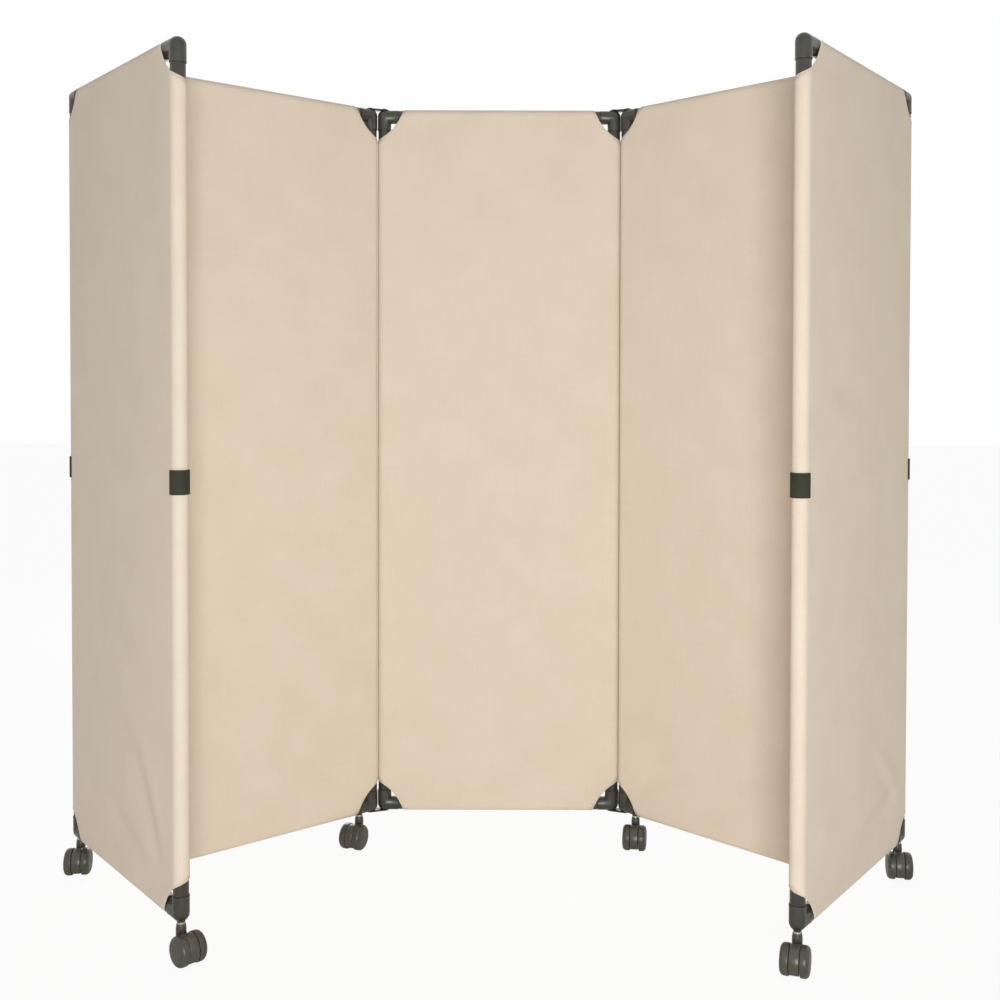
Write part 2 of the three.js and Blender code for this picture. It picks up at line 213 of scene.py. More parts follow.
def clothMaterial():
    look = clothLook
    roughness, specular = look["roughness"], look["specular"]
    material, tree, shader = newMaterial("wovenCloth", look["light"], roughness, specular=specular)
    shader.inputs["Sheen Weight"].default_value = look["sheen"]
    shader.inputs["Sheen Roughness"].default_value = look["sheenRoughness"]
    flat = addNode(tree, "ShaderNodeUVMap", uv_map="flat").outputs[0]
    split = addNode(tree, "ShaderNodeSeparateXYZ", {"Vector": flat})
    across, along = split.outputs["X"], split.outputs["Y"]

    # plain weave: warp and weft take turns on top
    turn = math.pi / look["threadPitch"]
    warp = mathNode(tree, "SINE", mathNode(tree, "MULTIPLY", across, turn))
    weft = mathNode(tree, "SINE", mathNode(tree, "MULTIPLY", along, turn))
    over = mathNode(tree, "MULTIPLY", warp, weft)
    slub = addNode(tree, "ShaderNodeTexNoise", {"Vector": flat}, Scale=look["slub"], Detail=3.0)
    threads = mathNode(tree, "ADD", mathNode(tree, "ABSOLUTE", over), slub.outputs["Fac"])

    def toneNoise(source, scale, detail, share):
        patches = addNode(tree, "ShaderNodeTexNoise", {"Vector": source}, Scale=scale, Detail=detail)
        return mathNode(tree, "MULTIPLY", patches.outputs["Fac"], share)

    # the tone varies slowly over the cloth, and thicker and thinner threads are faint streaks both ways
    tone = mathNode(tree, "ADD", toneNoise(flat, *look["cloud"]), toneNoise(flat, *look["fleck"]))
    fine, coarse = look["streakScales"]
    for stretch in ((fine, coarse, 1.0), (coarse, fine, 1.0)):
        lines = addNode(tree, "ShaderNodeMapping", {"Vector": flat}, Scale=stretch)
        tone = mathNode(tree, "ADD", tone, toneNoise(lines.outputs[0], *look["streak"]))
    color = rampNode(tree, tone, zip(look["toneRange"], (look["dark"], look["light"])))

    # a row of stitches beside each sleeve
    def stitchRow(place, other, axis):
        offset = mathNode(tree, "SUBTRACT", mathNode(tree, "ABSOLUTE", place), axis - look["stitchLine"])
        near = mathNode(tree, "LESS_THAN", mathNode(tree, "ABSOLUTE", offset), look["stitchWidth"] / 2)
        step = mathNode(tree, "MODULO", mathNode(tree, "ADD", other, 2.0), look["stitchPitch"])
        onStitch = mathNode(tree, "LESS_THAN", step, look["stitchLength"])
        return mathNode(tree, "MULTIPLY", near, onStitch)

    stitches = mathNode(
        tree,
        "MAXIMUM",
        stitchRow(across, along, panel["post"]),
        stitchRow(along, across, panel["half"]),
    )
    tree.links.new(mixColors(tree, stitches, color, look["stitch"]), shader.inputs["Base Color"])

    threads = mathNode(tree, "MULTIPLY", threads, look["threadShare"])
    height = mathNode(tree, "ADD", threads, mathNode(tree, "MULTIPLY", stitches, look["stitchShare"]))
    depth = look["threadDepth"]
    bump = addNode(tree, "ShaderNodeBump", {"Height": height}, Strength=look["bump"], Distance=depth)
    tree.links.new(bump.outputs["Normal"], shader.inputs["Normal"])
    return material


# Moulded and coated finishes: fine grain, slow tone and rubbed edges
coatedLook = {
    "cloud": 22.0,
    "toneRange": (0.35, 0.65),  # from dark to light
    "wearRange": (0.52, 0.62),  # of an edge's sharpness
    "wear": 0.35,
    "wearLight": 1.7,
    "roughnessSpread": 0.16,
    "bump": 0.35,
}
# name, light and dark colour, roughness, scale and depth of the grain, metallic, specular
coatings = {
    "tube": ("powderCoat", srgb(58, 57, 48), srgb(50, 49, 41), 0.34, 1400.0, 0.00006, 0.0, 0.5),
    "elbow": ("mouldedElbow", srgb(62, 62, 53), srgb(53, 53, 45), 0.3, 900.0, 0.00005, 0.0, 0.5),
    "clip": ("mouldedClip", srgb(58, 58, 47), srgb(51, 51, 41), 0.7, 900.0, 0.00006, 0.0, 0.15),
    "link": ("coatedSteel", srgb(58, 56, 48), srgb(50, 48, 41), 0.4, 1200.0, 0.00006, 0.0, 0.35),
    "caster": ("casterPlastic", srgb(80, 78, 67), srgb(70, 68, 58), 0.32, 700.0, 0.00004, 0.0, 0.45),
    "wheel": ("wheelPlastic", srgb(78, 77, 66), srgb(67, 66, 57), 0.34, 700.0, 0.00005, 0.0, 0.45),
    "zinc": ("zincPlate", srgb(214, 212, 206), srgb(190, 188, 182), 0.25, 900.0, 0.00003, 0.9, 0.35),
    "head": ("rivetSteel", srgb(76, 73, 64), srgb(64, 61, 54), 0.34, 900.0, 0.00003, 0.3, 0.35),
}


def coatedMaterial(name, light, dark, roughness, grain, depth, metallic, specular):
    look = coatedLook
    material, tree, shader = newMaterial(name, light, roughness, metallic, specular)
    where = addNode(tree, "ShaderNodeTexCoord").outputs["Object"]
    cloud = addNode(tree, "ShaderNodeTexNoise", {"Vector": where}, Scale=look["cloud"], Detail=4.0)
    fine = addNode(tree, "ShaderNodeTexNoise", {"Vector": where}, Scale=grain, Detail=2.0)
    color = rampNode(tree, cloud.outputs["Fac"], zip(look["toneRange"], (dark, light)))
    sharp = addNode(tree, "ShaderNodeNewGeometry").outputs["Pointiness"]
    edge = rampNode(tree, sharp, zip(look["wearRange"], ((0, 0, 0), [look["wear"]] * 3)))
    rubbed = [min(1, look["wearLight"] * value) for value in light]
    tree.links.new(mixColors(tree, edge, color, rubbed), shader.inputs["Base Color"])
    spread = mathNode(tree, "SUBTRACT", cloud.outputs["Fac"], 0.5)
    spread = mathNode(tree, "MULTIPLY", spread, look["roughnessSpread"])
    tree.links.new(mathNode(tree, "ADD", spread, roughness), shader.inputs["Roughness"])
    height = {"Height": fine.outputs["Fac"]}
    bump = addNode(tree, "ShaderNodeBump", height, Strength=look["bump"], Distance=depth)
    tree.links.new(bump.outputs["Normal"], shader.inputs["Normal"])
    return material


finishes = {"cloth": clothMaterial()}
for key, values in coatings.items():
    finishes[key] = coatedMaterial(*values)
print("materials made")


# Mesh helpers. A shape is a pair of lists, of points and of faces.
def joinShapes(*shapes):
    points, faces = [], []
    for shapePoints, shapeFaces in shapes:
        base = len(points)
        points.extend(shapePoints)
        faces.extend(tuple(base + i for i in face) for face in shapeFaces)
    return points, faces


def moved(shape, matrix):
    points, faces = shape
    return [matrix @ Vector(point) for point in points], faces


def meshFrom(name, shape, material, sharp=38, bevel=0.0):
    mesh = bpy.data.meshes.new(name)
    mesh.from_pydata([tuple(point) for point in shape[0]], [], shape[1])
    work = bmesh.new()
    work.from_mesh(mesh)
    bmesh.ops.remove_doubles(work, verts=work.verts, dist=1e-6)
    bmesh.ops.recalc_face_normals(work, faces=work.faces)
    limit = math.radians(sharp)
    if bevel:
        rims = [e for e in work.edges if len(e.link_faces) == 2 and e.calc_face_angle() > limit]
        bmesh.ops.bevel(work, geom=rims, offset=bevel, segments=2, profile=0.5, affect="EDGES")
    for face in work.faces:
        face.smooth = True
    for edge in work.edges:
        edge.smooth = not (len(edge.link_faces) == 2 and edge.calc_face_angle() > limit)
    work.to_mesh(mesh)
    work.free()
    mesh.materials.append(material)
    return mesh


def addPiece(name, mesh, place, body, slot, *nodes):
    piece = bpy.data.objects.new(name, mesh)
    bpy.context.scene.collection.objects.link(piece)
    piece.matrix_world = place
    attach(piece, body)
    if nodes:
        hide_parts(*nodes)
    return piece


# A turned shape round Z from (radius, height) points, first and last on the axis.
def turned(profile, sides):
    count = len(profile)
    points = []
    for i in range(sides):
        angle = 2 * math.pi * i / sides
        points.extend((r * math.cos(angle), r * math.sin(angle), z) for r, z in profile)
    faces = []
    for i in range(sides):
        j = (i + 1) % sides
        for k in range(count - 1):
            corners = [i * count + k, j * count + k, j * count + k + 1, i * count + k + 1]
            if profile[k][0] < 1e-7:
                corners.remove(j * count + k)
            if profile[k + 1][0] < 1e-7:
                corners.remove(j * count + k + 1)
            if len(corners) > 2:
                faces.append(tuple(corners))
    return points, faces


# An open outline of (x, y, radius) corners, each rounded by its radius
def rounded(corners, steps):
    outline = []
    for i, (x, y, radius) in enumerate(corners):
        if radius == 0:
            outline.append((x, y))
            continue
        here = Vector((x, y))
        back = (Vector(corners[i - 1][:2]) - here).normalized()
        onward = (Vector(corners[i + 1][:2]) - here).normalized()
        half = back.angle(onward) / 2
        centre = here + (back + onward).normalized() * radius / math.sin(half)
        start = here + back * radius / math.tan(half) - centre
        end = here + onward * radius / math.tan(half) - centre
        first = math.atan2(start.y, start.x)
        sweep = (math.atan2(end.y, end.x) - first + math.pi) % (2 * math.pi) - math.pi
        for k in range(steps + 1):
            angle = first + sweep * k / steps
            outline.append((centre.x + radius * math.cos(angle), centre.y + radius * math.sin(angle)))
    return outline


# A closed outline in X and Y, pulled from one height to another.
def slab(outline, low, high):
    count = len(outline)
    points = [(x, y, low) for x, y in outline] + [(x, y, high) for x, y in outline]
    faces = [tuple(reversed(range(count))), tuple(range(count, 2 * count))]
    for i in range(count):
        j = (i + 1) % count
        faces.append((i, j, count + j, count + i))
    return points, faces


# Covers: one flat pattern in the shape of a plus, whose four flaps go round the tubes as sleeves.
cover = {
    "thickness": 0.0012,
    "sleeve": 0.0165,  # radius at the middle of the cloth
    "wrapSteps": 14,  # round the tube
    "leaveSteps": 9,  # from the tube to the seam, on a curve with these two handles
    "leaveHandle": 0.020,
    "arriveHandle": 0.004,
    "seam": 0.0225,  # from the tube's axis to where the flap meets the field
    "seamStandOff": 0.0017,
    "allowance": 0.007,  # beyond the seam
    "cornerRadius": 0.0170,  # of the sleeves, outside
    "biteAlongRail": 0.067,
    "biteAlongPost": 0.078,
    "biteBulge": 0.0115,  # of the opening's edge, from its chord
    "columns": 44,
    "rows": 130,
    "biteSteps": 8,
    "slit": (0.013, 0.003),  # half size of the opening for a bracket
    "hemRadius": 0.0009,
    "hemSides": 8,
}


# Section of a sleeve: (outward from the tube's axis, depth, length of cloth so far). The last step round
# the tube is as high as the brackets' slit, at the back.
def sleeveSection():
    radius = cover["sleeve"]
    slit = math.asin(cover["slit"][1] / radius)
    wrap = math.pi + slit
    path = []
    for i in range(cover["wrapSteps"] + 1):
        angle = (wrap - 2 * slit) * i / (cover["wrapSteps"] - 1)
        if i == cover["wrapSteps"]:
            angle = wrap
        path.append(Vector((radius * math.sin(angle), -radius * math.cos(angle))))
    seam = Vector((-cover["seam"], cover["seamStandOff"] - radius))
    leave = path[-1] + cover["leaveHandle"] * Vector((math.cos(wrap), math.sin(wrap)))
    arrive = seam + Vector((cover["arriveHandle"], 0))
    first = path[-1]
    for i in range(1, cover["leaveSteps"] + 1):
        t = i / cover["leaveSteps"]
        s = 1 - t
        path.append(s**3 * first + 3 * s * s * t * leave + 3 * s * t * t * arrive + t**3 * seam)
    path.append(seam - Vector((cover["allowance"], 0)))
    section = []
    length = 0.0
    for i, point in enumerate(path):
        if i:
            length += (point - path[i - 1]).length
        section.append((point.x, point.y, length))
    return section


# The corner opening is an arc. From its distance to the sleeves' outer corner one way, the other way.
def biteCircle():
    rail, post, bulge = cover["biteAlongRail"], cover["biteAlongPost"], cover["biteBulge"]
    chord = math.hypot(rail, post)
    radius = chord * chord / (8 * bulge) + bulge / 2
    middle = Vector((rail / 2, post / 2))
    outward = Vector((post, rail)) / chord
    return middle + outward * (bulge - radius), radius


biteCentre, biteRadius = biteCircle()


def biteDown(inward):
    return biteCentre.y + math.sqrt(biteRadius**2 - (inward - biteCentre.x) ** 2)


def biteInward(down):
    return biteCentre.x + math.sqrt(biteRadius**2 - (down - biteCentre.y) ** 2)


# Small waves of the stretched cloth, in metres, and none of them at the tubes.
folds = {
    "firstSeed": 3.1,
    "seedStep": 11.7,
    "billow": (0.0022, 3.4, 1.9),  # height, and how fast it changes across and along
    "ripple": (0.0006, 4.5, 17.0),
    "rippleSeed": 7.3,
    "corner": 0.0011,  # rays round each corner
    "cornerRays": 9,
    "cornerPeak": 0.10,
    "cornerReach": 0.15,
    "topCorner": 0.5,  # share of a lower corner's
    "flat": 0.029,  # along the tubes, over the sleeves' flaps
    "settle": 0.080,
    "outward": 0.0006,  # of the panels that fold against each other
    "creasePeak": 0.4,  # along a crease
    "creaseReach": 0.38,
    "creasePast": 0.3,  # beyond either end, in lengths of the crease
    "ridge": 0.7,  # share of the valley's depth
    "ridgeAside": 1.6,  # in valley widths
    # creases by panel: start and end as shares of the half width and height, width, depth
    "creases": {
        "centre": [
            ((-0.8, -0.93), (0.3, -0.89), 0.035, 0.0030),
            ((0.9, -0.95), (0.2, -0.86), 0.022, 0.0026),
        ],
        "left": [
            ((0.97, -0.96), (0.1, -0.78), 0.022, 0.0075),
            ((0.8, -0.97), (-0.4, -0.88), 0.020, 0.0050),
            ((-0.3, 0.30), (-0.2, -0.40), 0.050, 0.0030),
        ],
        "right": [
            ((-0.95, -0.94), (0.1, -0.80), 0.020, 0.0055),
            ((-0.6, -0.64), (0.6, -0.70), 0.030, 0.0045),
            ((0.2, 0.50), (0.3, -0.20), 0.050, 0.0030),
        ],
        "left_wing": [
            ((0.93, -0.97), (0.2, -0.62), 0.030, 0.0060),
            ((0.80, -0.99), (-0.5, -0.80), 0.028, 0.0040),
            ((-0.8, 0.10), (0.4, 0.02), 0.024, 0.0030),
        ],
        "right_wing": [
            ((-0.8, 0.24), (0.3, 0.17), 0.030, 0.0028),
            ((0.9, -0.86), (-0.3, -0.93), 0.024, 0.0065),
            ((0.95, -0.93), (0.1, -0.70), 0.020, 0.0050),
        ],
    },
}


# A soft valley beside a soft ridge along a line
def creaseWave(x, z, start, end, width, depth):
    sx, sz = start[0] * panel["post"], start[1] * panel["half"]
    dx = end[0] * panel["post"] - sx
    dz = end[1] * panel["half"] - sz
    length = math.hypot(dx, dz)
    along = ((x - sx) * dx + (z - sz) * dz) / (length * length)
    off = ((x - sx) * dz - (z - sz) * dx) / length
    if not -folds["creasePast"] < along < 1 + folds["creasePast"]:
        return 0.0
    fade = math.exp(-(((along - folds["creasePeak"]) / folds["creaseReach"]) ** 2))
    valley = math.exp(-((off / width) ** 2))
    ridge = math.exp(-(((off - folds["ridgeAside"] * width) / width) ** 2))
    return depth * fade * (valley - folds["ridge"] * ridge)


def clothWave(x, z, name, seed):
    halfWide, halfHigh = panel["post"], panel["half"]
    inset = min(halfWide - abs(x), halfHigh - abs(z))
    ease = max(0.0, min(1.0, (inset - folds["flat"]) / folds["settle"]))
    ease = ease * ease * (3 - 2 * ease)
    wave = 0.0
    for (height, across, along), layer in (
        (folds["billow"], seed),
        (folds["ripple"], seed + folds["rippleSeed"]),
    ):
        wave += height * noise.noise(Vector((x * across, z * along, layer)))
    for sideX in (-1, 1):
        for sideZ in (-1, 1):
            dx = halfWide - sideX * x
            dz = halfHigh - sideZ * z
            reach = math.hypot(dx, dz)
            angle = math.atan2(dz, dx)
            fade = math.exp(-(((reach - folds["cornerPeak"]) / folds["cornerReach"]) ** 2))
            phase = seed * 1.7 + sideX * 0.9 + sideZ * 2.1  # differs from corner to corner
            share = folds["topCorner"] if sideZ > 0 else 1.0
            wave += folds["corner"] * fade * math.cos(folds["cornerRays"] * angle + phase) * share
    for crease in folds["creases"][name]:
        wave += creaseWave(x, z, *crease)
    wave *= ease
    if wave < 0 and not name.endswith("wing"):
        wave = folds["outward"] * (math.exp(wave / folds["outward"]) - 1)
    return wave


# A cover's points, their places in the flat pattern, its faces, and the points along its four hems.
# Points are told apart by their places in the pattern, so faces that meet there share them.
def coverShape(name, seed):
    isWing = name.endswith("wing")
    post, half, corner = panel["post"], panel["half"], cover["cornerRadius"]
    section = sleeveSection()
    topHalf = post + corner - biteInward(corner)  # half length of the rail flaps' root
    sideHalf = half + corner - biteDown(corner)  # half length of the post flaps' root
    points, flats, index = [], [], {}

    def vertex(x, y, z, u, v):
        key = (round(u, 6), round(v, 6))
        if key not in index:
            index[key] = len(points)
            points.append(Vector((x, y, z)))
            flats.append((u, v))
        return index[key]

    def fieldVertex(x, z):
        return vertex(x, -cover["sleeve"], z, x, z)

    faces = []

    def grid(rows):
        for lower, upper in zip(rows, rows[1:]):
            for i in range(len(lower) - 1):
                faces.append((lower[i], lower[i + 1], upper[i + 1], upper[i]))

    columns = [topHalf * (2 * i / cover["columns"] - 1) for i in range(cover["columns"] + 1)]
    rows = [sideHalf * (2 * i / cover["rows"] - 1) for i in range(cover["rows"] + 1)]
    slitWide = cover["slit"][0]
    if isWing:
        middle = cover["columns"] // 2
        columns[middle - 1], columns[middle + 1] = -slitWide, slitWide

    # the field between the four roots
    steps = cover["biteSteps"]
    strip = [i / steps for i in range(1, steps + 1)]
    highStrip = [sideHalf + (half - sideHalf) * share for share in strip]
    wideStrip = [topHalf + (post - topHalf) * share for share in strip]
    grid([[fieldVertex(x, z) for x in columns] for z in rows])
    for level in (-1, 1):
        ladder = [sideHalf] + highStrip
        grid([[fieldVertex(x, level * z) for x in columns] for z in ladder])
    for side in (-1, 1):
        ladder = [topHalf] + wideStrip
        grid([[fieldVertex(side * x, z) for z in rows] for x in ladder])
        # each corner is a triangle whose long side is the bite
        for level in (-1, 1):
            lines = []
            for i, x in enumerate(ladder):
                left = steps - i
                top = half + corner - biteDown(post + corner - x)
                if i == 0:
                    heights = [sideHalf] + highStrip
                else:
                    heights = [sideHalf + (top - sideHalf) * j / max(left, 1) for j in range(left + 1)]
                lines.append([fieldVertex(side * x, level * z) for z in heights])
            for near, far in zip(lines, lines[1:]):
                for j in range(len(far) - 1):
                    faces.append((near[j], near[j + 1], far[j + 1], far[j]))
                faces.append((near[-2], near[-1], far[-1]))

    # the four sleeves, and the hem's path along each corner
    postLimits, railLimits = [], []
    for out, depth, length in section:
        postLimits.append(half + corner - biteDown(corner - length))
        railLimits.append(post + corner - biteInward(corner - length))
    for side in (-1, 1):
        lines = []
        for (out, depth, length), limit in zip(section, postLimits):
            x, u = side * (post + out), side * (post + length)
            lines.append([vertex(x, depth, z / sideHalf * limit, u, z / sideHalf * limit) for z in rows])
        grid(lines)
    for level in (-1, 1):
        lines = []
        for (out, depth, length), limit in zip(section, railLimits):
            z, v = level * (half + out), level * (half + length)
            row = []
            for x in columns:
                inner = abs(x) <= slitWide + 1e-6
                wide = x if inner else x / topHalf * limit
                row.append(vertex(wide, depth, z, wide, v))
            lines.append(row)
        grid(lines)
    hemPaths = []
    for side in (-1, 1):
        for level in (-1, 1):
            path = []
            for (out, depth, length), limit in reversed(list(zip(section, postLimits))):
                path.append(vertex(0, 0, 0, side * (post + length), level * limit))
            for x in reversed([topHalf] + wideStrip[:-1]):
                top = half + corner - biteDown(post + corner - x)
                path.append(vertex(0, 0, 0, side * x, level * (half if x == topHalf else top)))
            for (out, depth, length), limit in list(zip(section, railLimits))[1:]:
                path.append(vertex(0, 0, 0, side * limit, level * (half + length)))
            hemPaths.append(path)

    if isWing:
        slitFrom = half + section[cover["wrapSteps"] - 1][2]
        slitTo = half + section[cover["wrapSteps"]][2]

        def inSlit(face):
            u = sum(flats[i][0] for i in face) / len(face)
            v = sum(flats[i][1] for i in face) / len(face)
            return abs(u) < slitWide and slitFrom < abs(v) < slitTo

        faces = [face for face in faces if not inSlit(face)]

    near = -cover["sleeve"] + 1e-5
    for point in points:
        if point.y < near and abs(point.x) < post and abs(point.z) < half:
            point.y += clothWave(point.x, point.z, name, seed)
    return points, flats, faces, hemPaths


def patternArea(flats, face):
    corners = [flats[i] for i in face]
    pairs = zip(corners, corners[1:] + corners[:1])
    return abs(sum(ax * by - bx * ay for (ax, ay), (bx, by) in pairs)) / 2


# A round bead along points, closed at both ends.
def bead(path, radius, sides):
    points, faces = [], []
    normal = None
    for i, here in enumerate(path):
        way = (path[min(i + 1, len(path) - 1)] - path[max(i - 1, 0)]).normalized()
        if normal is None:
            normal = way.orthogonal().normalized()
        normal = (normal - way * normal.dot(way)).normalized()
        side = way.cross(normal)
        for k in range(sides):
            angle = 2 * math.pi * k / sides
            points.append(here + radius * (normal * math.cos(angle) + side * math.sin(angle)))
    for i in range(len(path) - 1):
        for k in range(sides):
            n = (k + 1) % sides
            faces.append((i * sides + k, i * sides + n, (i + 1) * sides + n, (i + 1) * sides + k))
    last = (len(path) - 1) * sides
    faces.append(tuple(reversed(range(sides))))
    faces.append(tuple(range(last, last + sides)))
    return points, faces


def makeCover(name, seed):
    points, flats, faces, hemPaths = coverShape(name, seed)
    mesh = bpy.data.meshes.new(f"{name}_cloth")
    mesh.from_pydata([tuple(point) for point in points], [], faces)
    work = bmesh.new()
    work.from_mesh(mesh)
    bmesh.ops.recalc_face_normals(work, faces=work.faces)
    work.to_mesh(mesh)
    work.free()
    flatMap = mesh.uv_layers.new(name="flat")
    for loop in mesh.loops:
        flatMap.data[loop.index].uv = flats[loop.vertex_index]
    mesh.materials.append(finishes["cloth"])
    mesh.shade_smooth()
    place = places[name] @ Matrix.Translation((0, 0, panel["middle"]))
    cloth = addPiece(f"{name}_cloth", mesh, place, bodies[name], "cloth", f"{name}_cover")
    thick = cloth.modifiers.new("thickness", "SOLIDIFY")
    thick.thickness = cover["thickness"]
    thick.offset = 0

    hems = [bead([points[i] for i in path], cover["hemRadius"], cover["hemSides"]) for path in hemPaths]
    hemMesh = meshFrom(f"{name}_hem", joinShapes(*hems), finishes["cloth"], sharp=80)
    hem = addPiece(f"{name}_hem", hemMesh, place, bodies[name], "cloth")
    area = sum(patternArea(flats, face) for face in faces)


for i, name in enumerate(places):
    makeCover(name, folds["firstSeed"] + folds["seedStep"] * i)
print("covers made")

# Tubes, with the wings' brackets and mid-height clips
tube = {
    "sides": 48,
    "radius": 0.0155,
    "endRounding": 0.0006,
    "clipHeight": 0.049,
    "clipInner": 0.0175,
    "clipThickness": 0.0028,
    "clipWrap": 196,
    "clipSteps": 30,
    "clipEdge": 0.0011,
    "bracketThickness": 0.004,
    "bracketWidth": 0.024,
    "bracketRoot": 0.006,  # inside the rail's sleeve
    "bracketLeg": 0.022,
    "bracketBend": 0.0045,
    "bracketEdge": 0.0007,
    "bracketEndSteps": 12,
    "standoff": 0.050,  # from a wing's middle to its pins
    "headRadius": 0.007,
    "headHeight": 0.0025,
    "headRecess": 0.0019,
    "headSides": 40,
}


def tubeShape(low, high):
    radius, edge = tube["radius"], tube["endRounding"]
    profile = rounded([(0, low, 0), (radius, low, edge), (radius, high, edge), (0, high, 0)], 3)
    return turned(profile, tube["sides"])


# A low round head with a shallow recess, standing on z = 0.
def headShape():
    radius, high, recess = tube["headRadius"], tube["headHeight"], tube["headRecess"]
    profile = rounded(
        [
            (0, 0, 0),
            (radius, 0, 0.0002),
            (radius, high * 0.45, 0.0008),
            (radius * 0.72, high, 0.0012),
            (recess, high, 0.0003),
            (recess * 0.8, high * 0.5, 0.0002),
            (0, high * 0.5, 0),
        ],
        4,
    )
    return turned(profile, tube["headSides"])


# A shell over the outer side of a post's sleeve
def clipShape(side):
    inner = tube["clipInner"]
    outer = inner + tube["clipThickness"]
    half = math.radians(tube["clipWrap"]) / 2
    facing = 0 if side > 0 else math.pi
    steps = tube["clipSteps"]
    angles = [facing - half + 2 * half * i / steps for i in range(steps + 1)]
    outline = [(outer * math.cos(a), outer * math.sin(a)) for a in angles]
    outline += [(inner * math.cos(a), inner * math.sin(a)) for a in reversed(angles)]
    return slab(outline, -tube["clipHeight"] / 2, tube["clipHeight"] / 2)


# A strip bent up beside the rail and over the inner panel's elbow, with a round end on its pin.
def bracketShape():
    thick, wide, end = tube["bracketThickness"], tube["bracketWidth"] / 2, tube["standoff"]
    over = panel["tubeRadius"] + panel["gap"] + thick / 2
    leg, bend = tube["bracketLeg"], tube["bracketBend"]
    corners = [(tube["bracketRoot"], 0, 0), (leg, 0, bend), (leg, over, bend), (end, over, 0)]
    middle = rounded(corners, 5)
    steps = tube["bracketEndSteps"]
    for i in range(1, steps + 1):
        middle.append((end + wide * math.sin(math.pi / 2 * i / steps), over))
    points = []
    for i, (y, z) in enumerate(middle):
        before, after = middle[max(i - 1, 0)], middle[min(i + 1, len(middle) - 1)]
        way = Vector((after[0] - before[0], after[1] - before[1])).normalized()
        up = Vector((-way.y, way.x)) * thick / 2
        beyond = max(0.0, y - end)
        half = math.sqrt(max(wide**2 - beyond**2, 1e-10))
        for x, sign in ((-half, 1), (half, 1), (half, -1), (-half, -1)):
            points.append((x, y + sign * up.x, z + sign * up.y))
    faces = [(3, 2, 1, 0)]
    for i in range(len(middle) - 1):
        base = 4 * i
        for k in range(4):
            n = (k + 1) % 4
            faces.append((base + k, base + n, base + 4 + n, base + 4 + k))
    last = 4 * (len(middle) - 1)
    faces.append((last, last + 1, last + 2, last + 3))
    return points, faces


def makeTubes(name):
    isWing = name.endswith("wing")
    body, place = bodies[name], places[name]
    reach = panel["elbowArm"] + panel["gap"]
    for side, end in zip((-1, 1), ends[name]):
        at = place @ Matrix.Translation((side * panel["post"], 0, 0))
        shape = tubeShape(panel["bottom"] + reach, panel["top"] - reach)
        node = f"{name}_{end}_post"
        addPiece(f"{node}_tube", meshFrom(node, shape, finishes["tube"]), at, body, "tube", node)
        if isWing:
            clip = meshFrom(f"{node}_clip", clipShape(side), finishes["clip"], 50, tube["clipEdge"])
            level = Matrix.Translation((0, 0, panel["middle"]))
            addPiece(f"{node}_clip", clip, at @ level, body, "tube", node)
    for height, level in (("bottom", -1), ("top", 1)):
        z = panel["top"] if level > 0 else panel["bottom"]
        at = place @ Matrix.Translation((0, 0, z))
        starts = []
        for side, end in zip((-1, 1), ends[name]):
            overFoot = level < 0 and end == "hinge"
            arm = panel["footArm"] + panel["gap"] if overFoot else reach
            starts.append(side * (panel["post"] - arm))
        shape = moved(tubeShape(*starts), Matrix.Rotation(math.pi / 2, 4, "Y"))
        node = f"{name}_{height}_rail"
        addPiece(f"{node}_tube", meshFrom(node, shape, finishes["tube"]), at, body, "tube", node)
        if isWing:
            turn = Matrix.Scale(level, 4, Vector((0, 0, 1)))
            shape, edge = moved(bracketShape(), turn), tube["bracketEdge"]
            strip = meshFrom(f"{node}_bracket", shape, finishes["link"], 50, edge)
            addPiece(f"{node}_bracket", strip, at, body, "tube", node)
            seat = panel["tubeRadius"] + panel["gap"] + tube["bracketThickness"]
            shape = moved(headShape(), turn @ Matrix.Translation((0, tube["standoff"], seat)))
            head = meshFrom(f"{node}_head", shape, finishes["head"])
            addPiece(f"{node}_head", head, at, body, "tube", node)


for name in places:
    makeTubes(name)
print("tubes, clips and brackets made")

# Elbows
elbow = {
    "sides": 48,
    "cornerSteps": 10,
    "radius": 0.0169,
    "footStep": 0.0360,  # where an arm over a caster narrows to pass under the cover
    "footRadius": 0.0154,  # from there on
    "footSlope": 0.001,
    "footSetback": 0.034,  # from the post's axis to the caster's stem
    "boss": 0.0033,  # of a stem's seat, from the frame
    "lip": 0.0003,  # a raised band at the end of each arm
    "lipWidth": 0.0030,
    "lipRounding": 0.0005,
    "bossRadius": 0.0085,
    "bossEdge": 0.0007,
    "bossSides": 40,
    "spigotRadius": 0.0122,
    "spigot": 0.004,
}


